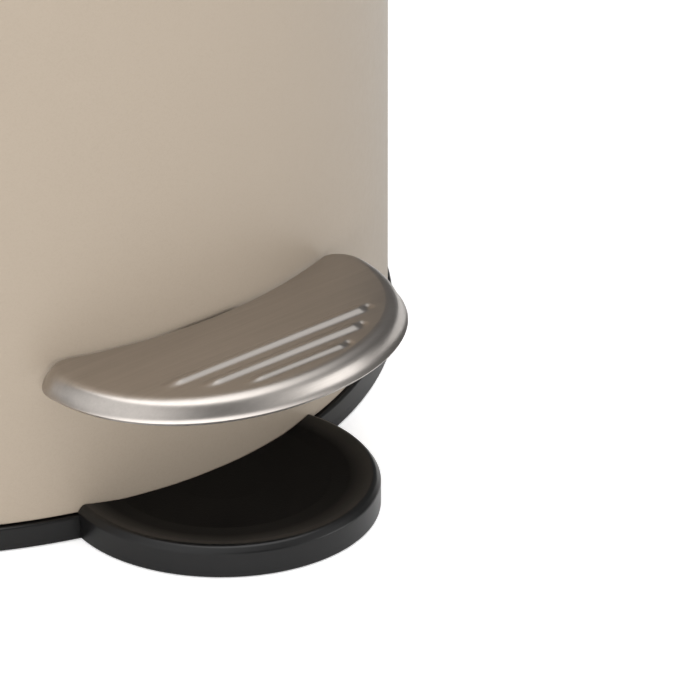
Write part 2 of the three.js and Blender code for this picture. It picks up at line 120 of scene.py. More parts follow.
def slab(name, corners, low, high, steps=6):
    """An outline in plan, extruded from one height to another."""
    bm = bmesh.new()
    outline = rounded(corners, steps)
    under = [bm.verts.new((x, y, low)) for x, y in outline]
    over = [bm.verts.new((x, y, high)) for x, y in outline]
    bm.faces.new(under)
    bm.faces.new(over)
    for i in range(len(outline)):
        j = (i + 1) % len(outline)
        bm.faces.new([under[i], under[j], over[j], over[i]])
    return piece(name, bm)


def block(low, high):
    """A plain block, used for cutting."""
    (x0, y0, z0), (x1, y1, z1) = low, high
    return slab("block", [(x0, y0), (x1, y0), (x1, y1), (x0, y1)], z0, z1)


def drum(r, low, high, centre=(0, 0), sides=192):
    """A plain upright cylinder, used for cutting and joining."""
    return turned("drum", [(0, low), (r, low), (r, high), (0, high)], sides, centre=centre)


UPRIGHT_TO_X = Matrix(((0, 0, 1, 0), (1, 0, 0, 0), (0, 1, 0, 0), (0, 0, 0, 1)))
UPRIGHT_TO_Y = Matrix(((0, 1, 0, 0), (0, 0, 1, 0), (1, 0, 0, 0), (0, 0, 0, 1)))


def along_x(made):
    """Lays a piece over: what was (x, y, z) is now at (z, x, y)."""
    made.data.transform(UPRIGHT_TO_X)
    return made


def along_y(made):
    """Lays a piece over: what was (x, y, z) is now at (y, z, x)."""
    made.data.transform(UPRIGHT_TO_Y)
    return made


def moved(made, x, y, z):
    """Shifts a piece by millimetres."""
    made.data.transform(Matrix.Translation(Vector((x, y, z)) * MM))
    return made


def settle(made):
    """Makes the modifiers on a piece part of its mesh."""
    shaped = bpy.data.meshes.new_from_object(made.evaluated_get(bpy.context.evaluated_depsgraph_get()))
    made.modifiers.clear()
    made.data = shaped
    return made


def combined(made, others, operation):
    """Works other pieces into one, and uses them up."""
    for other in others:
        boolean = made.modifiers.new("cut", "BOOLEAN")
        boolean.operation = operation
        boolean.solver = "EXACT"
        boolean.object = other
        settle(made)
        bpy.data.objects.remove(other)
    return made


def cut(made, *others):
    """Cuts other pieces out of one."""
    return combined(made, others, "DIFFERENCE")


def joined(made, *others):
    """Welds other pieces to one."""
    return combined(made, others, "UNION")


def eased(made, width, angle=40):
    """Breaks the sharp edges of a piece by a small round of this width in millimetres."""
    bevel = made.modifiers.new("edges", "BEVEL")
    bevel.width = width * MM
    bevel.segments = 2
    bevel.limit_method = "ANGLE"
    bevel.angle_limit = math.radians(angle)
    bevel.use_clamp_overlap = True
    return settle(made)


def shaded(made, angle=35):
    """Smooth shading that keeps true edges crisp and flat faces flat."""
    made.data.shade_smooth()
    made.data.set_sharp_from_angle(angle=math.radians(angle))
    made.modifiers.new("normals", "WEIGHTED_NORMAL").keep_sharp = True
    return made


def fitted(made, body, material, slot, *nodes):
    """Gives a piece its material and its place in the bin, where it stands for these nodes, if any."""
    made.data.materials.clear()
    made.data.materials.append(material)
    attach(made, body)
    if nodes:
        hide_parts(*nodes)


def finish(name, colour, roughness, metallic=0.0):
    """A new material with its principled shader, ready for detail."""
    material = bpy.data.materials.new(name)
    material.use_nodes = True
    shader = material.node_tree.nodes["Principled BSDF"]
    shader.inputs["Base Color"].default_value = (*colour, 1)
    shader.inputs["Roughness"].default_value = roughness
    shader.inputs["Metallic"].default_value = metallic
    return material, shader


def node(tree, kind, links=(), **values):
    """Adds a shader node: values set its sockets or settings, links feed its inputs."""
    made = tree.nodes.new(kind)
    for key, value in values.items():
        socket = made.inputs.get(key.replace("_", " "))
        if socket is None:
            setattr(made, key, value)
        else:
            socket.default_value = value
    for key, source in dict(links).items():
        tree.links.new(source, made.inputs[key])
    return made


def group(name, inputs, outputs):
    """A new shader node group with number or vector inputs and number outputs."""
    tree = bpy.data.node_groups.new(name, "ShaderNodeTree")
    for socket, kind in inputs.items():
        tree.interface.new_socket(socket, in_out="INPUT", socket_type=kind)
    for socket in outputs:
        tree.interface.new_socket(socket, in_out="OUTPUT", socket_type="NodeSocketFloat")
    start = tree.nodes.new("NodeGroupInput")
    end = tree.nodes.new("NodeGroupOutput")
    return tree, start, end


def moulded_texture():
    """Fine spark-eroded texture of a mould: a height for the bump, and a slow change of gloss."""
    tree, start, end = group("moulded_texture", {"Place": "NodeSocketVector"}, ("Height", "Gloss"))
    place = start.outputs["Place"]
    pits = node(tree, "ShaderNodeTexVoronoi", {"Vector": place}, Scale=1900.0)
    grain = node(tree, "ShaderNodeTexNoise", {"Vector": place}, Scale=900.0, Detail=4.0)
    links = {0: pits.outputs["Distance"], 1: grain.outputs["Fac"]}
    height = node(tree, "ShaderNodeMath", links, operation="ADD")
    slow = node(tree, "ShaderNodeTexNoise", {"Vector": place}, Scale=22.0, Detail=6.0, Roughness=0.6)
    tree.links.new(height.outputs[0], end.inputs["Height"])
    tree.links.new(slow.outputs["Fac"], end.inputs["Gloss"])
    return tree


texture_group = moulded_texture()


def ranged(tree, source, low, high):
    """Maps a value from 0..1 to low..high."""
    return node(tree, "ShaderNodeMapRange", {"Value": source}, To_Min=low, To_Max=high).outputs["Result"]


def plastic(name, colour, gloss, bump):
    """Moulded plastic: gloss is its lowest and highest roughness."""
    material, shader = finish(name, colour, sum(gloss) / 2)
    tree = material.node_tree
    place = node(tree, "ShaderNodeTexCoord").outputs["Object"]
    texture = node(tree, "ShaderNodeGroup", node_tree=texture_group)
    tree.links.new(place, texture.inputs["Place"])
    tree.links.new(ranged(tree, texture.outputs["Gloss"], *gloss), shader.inputs["Roughness"])
    tone = node(tree, "ShaderNodeMix", {"Factor": texture.outputs["Gloss"]}, data_type="RGBA")
    tone.inputs["A"].default_value = (*[c * 0.85 for c in colour], 1)
    tone.inputs["B"].default_value = (*[c * 1.2 for c in colour], 1)
    tree.links.new(tone.outputs["Result"], shader.inputs["Base Color"])
    links = {"Height": texture.outputs["Height"]}
    relief = node(tree, "ShaderNodeBump", links, Strength=bump, Distance=0.0001)
    tree.links.new(relief.outputs["Normal"], shader.inputs["Normal"])
    return material


black_plastic = plastic("black_moulding", (0.0035, 0.0034, 0.0035), (0.28, 0.38), 0.12)
body_low, body_high = box("body_shell")
body_r = body_high.x
base_low, base_high = box("base")
ring_r = base_high.x
ring_top = body_low.z - 0.4
floor = 3.0
upstand = (126.4, 129.4, 12.0)  # inner and outer radius, and height
foot_r = 45.2
foot_y = base_low.y + foot_r
foot_rim = ring_top + 3.0
deck = foot_rim - 1.5
# The tread of the foot is dull, while its rim and wall are smooth.
black_tree = black_plastic.node_tree
black_shader = black_tree.nodes["Principled BSDF"]
black_shader.inputs["Specular IOR Level"].default_value = 0.03
black_shader.inputs["Coat Roughness"].default_value = 0.3
black_place = node(black_tree, "ShaderNodeTexCoord").outputs["Object"]
from_foot = node(black_tree, "ShaderNodeVectorMath", {0: black_place}, operation="DISTANCE")
from_foot.inputs[1].default_value = (0, foot_y * MM, deck * MM)
tread = {"From_Min": (foot_r - 9) * MM, "From_Max": (foot_r - 1.5) * MM, "To_Min": 0.0, "To_Max": 0.7}
sheen = node(black_tree, "ShaderNodeMapRange", {"Value": from_foot.outputs["Value"]}, **tread)
black_tree.links.new(sheen.outputs["Result"], black_shader.inputs["Coat Weight"])
axle_low, axle_high = box("pedal_axle")
axle_y = (axle_low.y + axle_high.y) / 2
axle_z = (axle_low.z + axle_high.z) / 2

base = turned(
    "base_moulding",
    [
        (0, 0),
        (ring_r, 0, 0.5),
        (ring_r - 1, ring_top, 0.9),
        (upstand[1], ring_top),
        (upstand[1], upstand[2], 0.6),
        (upstand[0], upstand[2], 0.6),
        (upstand[0], floor, 1.5),
        (0, floor),
    ],
    sides=288,
)
foot = turned(
    "foot",
    [
        (0, 0),
        (foot_r, 0, 0.6),
        (foot_r, foot_rim - 2.2, 1.2),
        (foot_r - 1.6, foot_rim - 0.1, 1.7),
        (foot_r - 4.6, foot_rim - 0.45, 3.0),
        (foot_r - 14, deck + 0.25, 8.0),
        (foot_r * 0.3, deck, 6.0),
        (0, deck),
    ],
    sides=192,
    centre=(0, foot_y),
)
cut(foot, drum(body_r + 0.4, ring_top, 60, sides=288), drum(upstand[0], floor, 60, sides=288))
joined(base, foot)
for x in (-18, 18):
    joined(base, block((x - 3, axle_y - 6, floor - 1), (x + 3, axle_y + 6, axle_z + 7)))
pin_bore = 2.9
stud_bore = 2.35
cut(base, along_x(drum(pin_bore, -30, 30, (axle_y, axle_z), 32)))
pads = ["anti_slip_pad_%d" % number for number in range(1, 6)]
pad_places = [middle_of(name) for name in pads]
screws = ["base_screw_%d" % number for number in range(1, 5)]
screw_places = [middle_of(name) for name in screws]
cut(base, *[drum(11.4, -1, 2.2, place[:2], 48) for place in pad_places])
cut(base, *[drum(4.35, -1, 2.4, place[:2], 32) for place in screw_places])
fitted(shaded(base), "body", black_plastic, "black_moulding", "base")


# ---- Rubber pads ----
# Five round pads of black rubber with two moulded grooves each. They are pressed into pockets under the
# base and the foot, so that the bin doesn't slide when the pedal is pressed.
rubber, rubber_shader = finish("rubber", (0.012, 0.012, 0.012), 0.8)
tree = rubber.node_tree
place = node(tree, "ShaderNodeTexCoord").outputs["Object"]
bloom = node(tree, "ShaderNodeTexNoise", {"Vector": place}, Scale=160.0, Detail=5.0)
tree.links.new(ranged(tree, bloom.outputs["Fac"], 0.7, 0.95), rubber_shader.inputs["Roughness"])
skin = node(tree, "ShaderNodeBump", {"Height": bloom.outputs["Fac"]}, Strength=0.3, Distance=0.0002)
tree.links.new(skin.outputs["Normal"], rubber_shader.inputs["Normal"])
for name, place in zip(pads, pad_places):
    low, high = box(name)
    radius = (high.x - low.x) / 2
    corners = [(0, 0), (radius, 0, 0.5), (radius, high.z, 0.3), (0, high.z)]
    pad = turned("rubber_" + name, corners, 64, centre=place[:2])
    for groove in (4.0, 7.0):
        ring = [(groove - 0.4, -1), (groove + 0.4, -1), (groove + 0.4, 0.5), (groove - 0.4, 0.5)]
        cut(pad, turned("groove", ring, 64, centre=place[:2]))
    fitted(shaded(pad), "body", rubber, "rubber", name)


# ---- Base screws ----
# Four zinc-plated countersunk screws with a cross recess. They are driven from below and hold the base
# to the flange at the foot of the body.
def metal(name, colour, roughness, streak, lines=0.0):
    """Bare or plated steel: streak is how the grain is stretched, lines how deep it is."""
    material, shader = finish(name, colour, sum(roughness) / 2, 1.0)
    tree = material.node_tree
    grain = node(tree, "ShaderNodeGroup", node_tree=grain_group)
    grain.inputs["Stretch"].default_value = streak
    tree.links.new(node(tree, "ShaderNodeTexCoord").outputs["Object"], grain.inputs["Place"])
    tree.links.new(ranged(tree, grain.outputs["Gloss"], *roughness), shader.inputs["Roughness"])
    tone = node(tree, "ShaderNodeMix", {"Factor": grain.outputs["Lines"]}, data_type="RGBA")
    tone.inputs["A"].default_value = (*[c * 0.8 for c in colour], 1)
    tone.inputs["B"].default_value = (*[min(c * 1.18, 1) for c in colour], 1)
    tree.links.new(tone.outputs["Result"], shader.inputs["Base Color"])
    if lines:
        links = {"Height": grain.outputs["Lines"]}
        relief = node(tree, "ShaderNodeBump", links, Strength=lines, Distance=0.00005)
        tree.links.new(relief.outputs["Normal"], shader.inputs["Normal"])
    return material


def metal_grain():
    """Long scratches of brushing or drawing: fine lines along one way, and a slow change of gloss."""
    inputs = {"Place": "NodeSocketVector", "Stretch": "NodeSocketVector"}
    tree, start, end = group("metal_grain", inputs, ("Lines", "Gloss"))
    links = {0: start.outputs["Place"], 1: start.outputs["Stretch"]}
    stretched = node(tree, "ShaderNodeVectorMath", links, operation="MULTIPLY").outputs["Vector"]
    fine = node(tree, "ShaderNodeTexNoise", {"Vector": stretched}, Scale=1.0, Detail=3.0, Roughness=0.7)
    broad = node(tree, "ShaderNodeTexNoise", {"Vector": stretched}, Scale=0.27, Detail=2.0)
    both = node(tree, "ShaderNodeMath", {0: fine.outputs["Fac"], 1: broad.outputs["Fac"]}, operation="ADD")
    half = node(tree, "ShaderNodeMath", {0: both.outputs[0]}, operation="MULTIPLY")
    half.inputs[1].default_value = 0.5
    slow = node(tree, "ShaderNodeTexNoise", {"Vector": start.outputs["Place"]}, Scale=35.0, Detail=5.0)
    tree.links.new(half.outputs[0], end.inputs["Lines"])
    tree.links.new(slow.outputs["Fac"], end.inputs["Gloss"])
    return tree


grain_group = metal_grain()
even = (700, 700, 700)
zinc = metal("zinc_plate", (0.55, 0.56, 0.57), (0.3, 0.48), even, 0.08)


def countersunk(name, place, low, high, head, shank):
    """A countersunk screw pointing up, with a cross recess."""
    corners = [(0, low), (head, low, 0.15), (shank, low + head - shank), (shank, high - 1.5), (0, high)]
    screw = turned(name, corners, 48)
    arm, arm_half, deep = 2.2, 0.45, 1.3
    cross = block((-arm_half, -arm, low - 1), (arm_half, arm, low + deep))
    joined(cross, block((-arm, -arm_half, low - 1), (arm, arm_half, low + deep)))
    return moved(cut(screw, cross), place.x, place.y, 0)


for name, place in zip(screws, screw_places):
    low, high = box(name)
    screw = countersunk("countersunk_" + name, place, low.z, high.z, (high.x - low.x) / 2, 1.8)
    fitted(shaded(screw), "body", zinc, "zinc_steel", name)

# ---- Lever stop ----
# A round block of black rubber, pushed on a peg of the base. The rear arm of the lever comes to rest on
# it, which sets how high the pedal stands.
low, high = box("lever_stop")
radius = (high.x - low.x) / 2
stop_centre = ((low.x + high.x) / 2, (low.y + high.y) / 2)
peg_r, peg_top = 3.0, 9.0
hollow_r, hollow_top = peg_r + 0.4, peg_top + 0.4
stop_shape = [
    (hollow_r, low.z),
    (radius, low.z, 0.5),
    (radius - 0.6, high.z, 1.2),
    (0, high.z),
    (0, hollow_top),
    (hollow_r, hollow_top),
]
stop = turned("rubber_lever_stop", stop_shape, 64, centre=stop_centre)
fitted(shaded(stop), "body", rubber, "rubber", "lever_stop")
peg_shape = [(0, floor - 1), (peg_r, floor - 1), (peg_r, peg_top, 0.5), (0, peg_top)]
peg = turned("stop_peg", peg_shape, 48, centre=stop_centre)
fitted(shaded(peg), "body", black_plastic, "black_moulding")

# ---- Body ----
# A tube of steel sheet, rolled and seamed, with a narrow flange turned in at its foot, a slot for the
# pedal lever in front and a notch for the lid's arm behind. It is sprayed in a satin champagne metallic.
def sprayed_paint():
    """Metallic paint: fine flake, a faint orange peel, and a slow change of tone over the sheet."""
    tree, start, end = group("sprayed_paint", {"Place": "NodeSocketVector"}, ("Flake", "Peel", "Tone"))
    place = start.outputs["Place"]
    flake = node(tree, "ShaderNodeTexVoronoi", {"Vector": place}, Scale=2600.0)
    peel = node(tree, "ShaderNodeTexNoise", {"Vector": place}, Scale=420.0, Detail=2.0)
    slow = node(tree, "ShaderNodeTexNoise", {"Vector": place}, Scale=9.0, Detail=4.0)
    split = node(tree, "ShaderNodeSeparateColor", {"Color": flake.outputs["Color"]})
    tree.links.new(split.outputs["Red"], end.inputs["Flake"])
    tree.links.new(peel.outputs["Fac"], end.inputs["Peel"])
    tree.links.new(slow.outputs["Fac"], end.inputs["Tone"])
    return tree


paint_group = sprayed_paint()
paint_colour = (0.35, 0.292, 0.229)
paint, paint_shader = finish("champagne_paint", paint_colour, 0.42, 0.15)
paint_shader.inputs["Specular IOR Level"].default_value = 0.35
paint_shader.inputs["Coat Weight"].default_value = 0.08
paint_shader.inputs["Coat Roughness"].default_value = 0.22
tree = paint.node_tree
spray = node(tree, "ShaderNodeGroup", node_tree=paint_group)
tree.links.new(node(tree, "ShaderNodeTexCoord").outputs["Object"], spray.inputs["Place"])
mixed = node(tree, "ShaderNodeMath", {0: spray.outputs["Flake"], 1: spray.outputs["Tone"]}, operation="ADD")
tone = node(tree, "ShaderNodeMix", {"Factor": ranged(tree, mixed.outputs[0], 0.0, 0.5)}, data_type="RGBA")
tone.inputs["A"].default_value = (*[c * 0.94 for c in paint_colour], 1)
tone.inputs["B"].default_value = (*[c * 1.07 for c in paint_colour], 1)
tree.links.new(tone.outputs["Result"], paint_shader.inputs["Base Color"])
tree.links.new(ranged(tree, spray.outputs["Peel"], 0.38, 0.46), paint_shader.inputs["Roughness"])
relief = node(tree, "ShaderNodeBump", {"Height": spray.outputs["Peel"]}, Strength=0.04, Distance=0.0002)
tree.links.new(relief.outputs["Normal"], paint_shader.inputs["Normal"])

sheet = 0.8
flange_r = 130.0
inner_r = body_r - sheet
foot_z = body_low.z
# The tall wall is laid in bands, so that its openings only touch the band that they are in.
bands = (foot_z + 12, 28, 70, 235, 265, 385)
wall = turned(
    "body_tube",
    [
        (flange_r, foot_z),
        (body_r, foot_z, 0.5),
        *[(body_r, z) for z in bands],
        (body_r, body_high.z, 0.3),
        (inner_r, body_high.z, 0.3),
        *[(inner_r, z) for z in reversed(bands)],
        (inner_r, foot_z + sheet, 1.0),
        (flange_r, foot_z + sheet),
    ],
    sides=288,
)
FACE_TO_BACK = Matrix(((1, 0, 0, 0), (0, 0, 1, 0), (0, 1, 0, 0), (0, 0, 0, 1)))


def facing_back(made):
    """Turns an outline drawn in (x, z) to face the back, and keeps its normals right."""
    made.data.transform(FACE_TO_BACK)
    made.data.flip_normals()
    return made


lever_slot = slab("slot", [(-13.6, 28.4, 4), (13.6, 28.4, 4), (13.6, 56, 4), (-13.6, 56, 4)], -160, -130)
notch = slab("notch", [(-10.5, 417, 3), (10.5, 417, 3), (10.5, 440), (-10.5, 440)], 130, 160)
cut(wall, facing_back(lever_slot), facing_back(notch))
# The seam of the rolled sheet is a fine line down the back.
cut(wall, block((-0.3, body_r - 0.2, foot_z + 1), (0.3, body_r + 1, body_high.z - 14)))
fitted(shaded(wall), "body", paint, "champagne_paint", "body_shell")

# ---- Pedal axle and its clips ----
# A zinc-plated steel pin through the lugs of the base, which the lever turns on. An open clip of spring
# steel, snapped on at each end, keeps it in place.
axle_r = (axle_high.z - axle_low.z) / 2
half = (axle_high.x - axle_low.x) / 2
axle_shape = [(0, -half), (axle_r, -half, 0.5), (axle_r, half, 0.5), (0, half)]
axle = turned("axle_pin", axle_shape, 48, centre=(axle_y, axle_z))
fitted(shaded(along_x(axle)), "body", zinc, "zinc_steel", "pedal_axle")
for name in ("axle_clip_left", "axle_clip_right"):
    low, high = box(name)
    ring = [(2.8, low.x, 0.2), (5.4, low.x, 0.3), (5.4, high.x, 0.3), (2.8, high.x, 0.2)]
    clip = along_x(turned("sprung_" + name, ring, 64, centre=(axle_y, axle_z)))
    cut(clip, block((low.x - 1, axle_y - 1.9, axle_z - 8), (high.x + 1, axle_y + 1.9, axle_z)))
    fitted(shaded(clip), "body", zinc, "zinc_steel", name)

# ---- Pedal lever ----
# One strip of plated steel, bent where it leaves the pedal and again at the axle, with a tube welded
# across it for the axle. Its rear end lies under the foot of the push rod.
lever_low, lever_high = box("pedal_lever")
thick = 3.0
seat_z = lever_high.z - thick / 2
rear = (lever_high.y, lever_low.z + thick / 2)


def strip(points, thickness):
    """The outline of a strip along (y, z) points."""
    line = [Vector(point) for point in points]
    sides = []
    for sign in (-1, 1):
        side = []
        for i, here in enumerate(line):
            along = (line[min(i + 1, len(line) - 1)] - line[max(i - 1, 0)]).normalized()
            side.append(here + Vector((-along.y, along.x)) * sign * thickness / 2)
        sides.append(side)
    return [(*point, 0) for point in sides[0] + sides[1][::-1]]


def bent(points, radius, steps=6):
    """A line of (y, z) points with its inner corners rounded."""
    line = [points[0]]
    closed = rounded([(*points[0],)] + [(*point, radius) for point in points[1:-1]] + [(*points[-1],)], steps)
    return line + [tuple(point) for point in closed[1:]]


lever_line = bent([(lever_low.y, seat_z), (-152, seat_z), (axle_y, axle_z), rear], 14)
lever_outline = [(y, z) for y, z, _ in strip(lever_line, thick)]
lever = along_x(slab("bent_lever", lever_outline, lever_low.x + 2.4, lever_high.x - 2.4))
boss = along_x(drum(5.5, lever_low.x, lever_high.x, (axle_y, axle_z), 64))
joined(lever, boss)
cut(lever, along_x(drum(pin_bore, -30, 30, (axle_y, axle_z), 48)))
nuts = ("pedal_nut_1", "pedal_nut_2")
nut_places = [middle_of(name) for name in nuts]
cut(lever, *[drum(stud_bore, 40, 80, place[:2], 32) for place in nut_places])
# The ends of the strip are cropped to a round in plan.
end = rear[0]
for side in (-1, 1):
    corner = [(side * 40, end - 3), (side * 9, end - 3), (side * 14, end + 5), (side * 40, end + 5)]
    cut(lever, slab("corner", corner, 0, 40))
eased(lever, 0.4)
fitted(shaded(lever), "pedal", zinc, "zinc_steel", "pedal_lever")


# ---- Pedal nuts ----
# Two zinc-plated hexagon nuts with chamfered corners. They run on the studs of the pedal and clamp it to
# the lever from below.
def hexagon(name, r, low, high, bore, x, y):
    """A chamfered hexagon nut with a plain bore."""
    turns = [math.radians(60 * i + 30) for i in range(6)]
    nut = slab(name, [(r * math.cos(turn), r * math.sin(turn)) for turn in turns], low, high)
    end_r, widest = r * 0.82, r * 1.06
    dome = [
        (0, low - 1),
        (end_r, low - 1),
        (widest, low + 0.35),
        (widest, high - 0.35),
        (end_r, high + 1),
        (0, high + 1),
    ]
    combined(nut, [turned("dome", dome, 48)], "INTERSECT")
    cut(nut, turned("bore", [(0, low - 1), (bore, low - 1), (bore, high + 1), (0, high + 1)], 48))
    return moved(shaded(nut), x, y, 0)


for name, place in zip(nuts, nut_places):
    low, high = box(name)
    nut = hexagon("hex_" + name, (high.y - low.y) / 2, low.z, high.z, 2.3, place.x, place.y)
    fitted(nut, "pedal", zinc, "zinc_steel", name)

# ---- Pedal ----
# A pressed stainless plate that follows the round of the body. Its edge is turned down and flares out to a
# lip, three ribs are pressed up in it for grip, and it is brushed along the ribs.
pedal_low, pedal_high = box("pedal_plate")
rib_proud = 1.0
rib_widest = 2.9
pedal_top = pedal_high.z - rib_proud
plate_sheet = 1.2
lip_half = pedal_high.x
lip_front = -pedal_low.y
plate_half = lip_half - 3.3
plate_front = lip_front - 4.2
corner_r = 6.5
hollow_r = body_r + 1.5
corner_x = plate_half - corner_r
corner_y = -math.sqrt((hollow_r + corner_r) ** 2 - corner_x**2)
meet = math.atan2(corner_y, corner_x)


def front_edge(steps=150):
    """The pedal's outer edge in plan, from its right rear corner round the front to its left one."""
    points = []
    for i in range(13):
        turn = (math.pi + meet) * (1 - i / 12)
        points.append(Vector((corner_x + corner_r * math.cos(turn), corner_y + corner_r * math.sin(turn))))
    for i in range(1, steps):
        turn = -math.pi * i / steps
        x = plate_half * math.copysign(abs(math.cos(turn)) ** 0.95, math.cos(turn))
        points.append(Vector((x, corner_y - (plate_front + corner_y) * abs(math.sin(turn)) ** 0.95)))
    return points + [Vector((-p.x, p.y)) for p in reversed(points[:13])]


edge = front_edge()
tangents = [(edge[min(i + 1, len(edge) - 1)] - edge[max(i - 1, 0)]).normalized() for i in range(len(edge))]
outward = [Vector((-t.y, t.x)) for t in tangents]
if outward[len(edge) // 2].y > 0:
    outward = [-way for way in outward]


def spread(i):
    """How much of the skirt there is at a point of the edge: none at the rear corners."""
    return smooth(min(i, len(edge) - 1 - i) / 11)


# The turned-down edge, from the flat top outwards: reach past the plate's edge, and drop.
skirt_profile = [(-2.4, 0.0), (-1.5, 0.07), (-0.7, 0.25), (0.0, 0.56), (0.6, 1.0), (1.05, 1.55), (1.4, 2.2),
                 (1.7, 2.9), (1.95, 3.6), (2.2, 4.3), (2.5, 4.9), (2.85, 5.4), (3.3, 5.8)]
front_flare = 4.2 / 3.3  # the lip stands out further in front than at the sides
# Each rib: its place, how far it reaches to each side, and half its width.
ribs = ((-170.8, 36.5, 2.7), (-177.7, 28.5, 2.6), (-184.0, 18, 2.1))


dent_r, dent_deep, dent_past = 1.9, 0.45, 1.2
run_on, fade_left, fade_right = 3, 8, 2.4


def smooth(share):
    """A soft step: 0 at 0 and below, 1 at 1 and above."""
    share = max(0, min(share, 1))
    return share * share * (3 - 2 * share)


def hump(share):
    """A round hump: 1 in the middle at 0, and level with the rest at 1."""
    return 0.5 + 0.5 * math.cos(math.pi * share)


def top_height(x, y):
    """Height of the pressed top above the flat: the ribs, and a dent beyond the right end of each."""
    height = 0.0
    for rib_y, length, rib_half in ribs:
        dent = math.dist((x, y), (length + dent_past, rib_y)) / dent_r
        if dent < 1:
            height -= dent_deep * hump(dent)
        across = abs(y - rib_y) / rib_half
        if across >= 1:
            continue
        run = smooth((x + length + run_on) / fade_left) * smooth((length - x) / fade_right)
        height += rib_proud * rib_half / rib_widest * run * hump(across)
    return height


hollow = []
last_turn = math.atan2(edge[-1].y, edge[-1].x)
first_turn = math.atan2(edge[0].y, edge[0].x)
hollow_steps = 90
for i in range(1, hollow_steps):
    turn = last_turn + (first_turn - last_turn) * i / hollow_steps
    hollow.append(Vector((hollow_r * math.cos(turn), hollow_r * math.sin(turn))))
inner_edge = [p + way * skirt_profile[0][0] * spread(i) for i, (p, way) in enumerate(zip(edge, outward))]
outline = inner_edge + hollow
grid = 0.65
inside = []
row = 0
y = -lip_front
while y < -130:
    x = -lip_half + (row % 2) * grid / 2
    while x < lip_half:
        inside.append(Vector((x, y)))
        x += grid
    y += grid * 0.866
    row += 1
outline_count = len(outline)
ring_edges = [(i, (i + 1) % outline_count) for i in range(outline_count)]
flat_points, _, faces, *_ = delaunay_2d_cdt(outline + inside, ring_edges, [], 1, 1e-4)
bm = bmesh.new()
top = [bm.verts.new((p.x, p.y, pedal_top + top_height(p.x, p.y))) for p in flat_points]
for face in faces:
    bm.faces.new([top[i] for i in face])
bmesh.ops.delete(bm, geom=[v for v in bm.verts if not v.link_faces], context="VERTS")
previous = None
for reach, drop in skirt_profile:
    ring = []
    for i, (p, way) in enumerate(zip(edge, outward)):
        flare = 1 if reach < 0 else 1 + (front_flare - 1) * abs(way.y)
        at = p + way * reach * flare * spread(i)
        ring.append(bm.verts.new((at.x, at.y, pedal_top - drop * spread(i))))
    if previous:
        for i in range(len(ring) - 1):
            bm.faces.new([previous[i], previous[i + 1], ring[i + 1], ring[i]])
    previous = ring
bmesh.ops.remove_doubles(bm, verts=bm.verts, dist=0.05)
plate = piece("pressed_pedal", bm)
bm = bmesh.new()
bm.from_mesh(plate.data)
bmesh.ops.recalc_face_normals(bm, faces=bm.faces)
highest = max(bm.faces, key=lambda f: f.calc_center_median().z)
if highest.normal.z < 0:
    bmesh.ops.reverse_faces(bm, faces=bm.faces)
bm.to_mesh(plate.data)
bm.free()
thicken = plate.modifiers.new("sheet", "SOLIDIFY")
thicken.thickness = plate_sheet * MM
thicken.offset = -1
thicken.use_even_offset = True
settle(plate)
steel_colour = (0.46, 0.425, 0.395)
along_ribs = (40, 1300, 1300)
brushed_steel = metal("brushed_steel", steel_colour, (0.28, 0.35), along_ribs, 0.2)
fitted(shaded(plate, 50), "pedal", brushed_steel, "brushed_steel", "pedal_plate")


def stud(name, body, place, low, high):
    """A plated stud welded under a plate, which takes a nut."""
    made = drum(2.0, low, high, place[:2], 32)
    made.name = name
    fitted(shaded(made), body, zinc, "zinc_steel")


for place in nut_places:
    stud("pedal_stud", "pedal", place, pedal_low.z, pedal_top - 0.6)

# ---- Top rim ----
# A dark grey moulded ring clipped over the top edge of the body. It hides the raw edge, carries the
# flange of the bucket, and is open behind where the lid's arm passes.
grey_plastic = plastic("grey_moulding", (0.035, 0.035, 0.037), (0.4, 0.55), 0.22)
rim_low, rim_high = box("top_rim")
rim_gap = 12.0
rim_inner = 129.5
clip_r = inner_r - 0.6
rim = turned(
    "clipped_rim",
    [
        (rim_inner, rim_high.z - 2.2, 0.4),
        (clip_r - 2, rim_high.z - 2.2, 0.6),
        (clip_r - 2, rim_low.z, 0.3),
        (clip_r, rim_low.z, 0.8),
        (clip_r, body_high.z + 0.4),
        (rim_high.x, body_high.z + 0.4, 0.3),
        (rim_high.x, rim_high.z, 1.1),
        (rim_inner, rim_high.z, 0.8),
    ],
    sides=288,
)
cut(rim, block((-rim_gap, 100, rim_low.z - 5), (rim_gap, 200, rim_high.z + 5)))
fitted(shaded(rim), "body", grey_plastic, "grey_moulding", "top_rim")

# ---- Inner bucket ----
# A tapered bucket moulded in dark grey plastic. It hangs by its flange on the rim, has two oval hand
# holes under the flange, and lifts out to be emptied.
bucket_plastic = plastic("bucket_plastic", (0.06, 0.06, 0.065), (0.34, 0.48), 0.18)
bucket_low, bucket_high = box("inner_bucket")
bucket_wall = 2.0
bucket_floor_r = 117.0
bucket_mouth_r = 126.8
flange_z = bucket_high.z - 2.0
flange_flat = bucket_mouth_r + 0.8
bucket = turned(
    "hanging_bucket",
    [
        (0, bucket_low.z + 1.2),
        (88, bucket_low.z + 1.2, 1.0),
        (90, bucket_low.z, 1.0),
        (bucket_floor_r, bucket_low.z, 7),
        (bucket_mouth_r - 0.35, 385, 1),
        (bucket_mouth_r, 388, 1),
        (bucket_mouth_r, flange_z, 0.8),
        (bucket_high.x, flange_z, 0.3),
        (bucket_high.x, bucket_high.z, 0.9),
        (bucket_mouth_r - bucket_wall, bucket_high.z, 1.2),
        (bucket_mouth_r - bucket_wall, 387, 1),
        (bucket_mouth_r - bucket_wall - 0.4, 384, 1),
        (bucket_floor_r - bucket_wall, bucket_low.z + 2, 5),
        (0, bucket_low.z + 3.2),
    ],
    sides=240,
)
cut(bucket, block((-20, flange_flat, flange_z - 3), (20, 200, bucket_high.z + 3)))
hole_half, hole_low, hole_high, hole_round = 42.0, 398.0, 420.0, 9
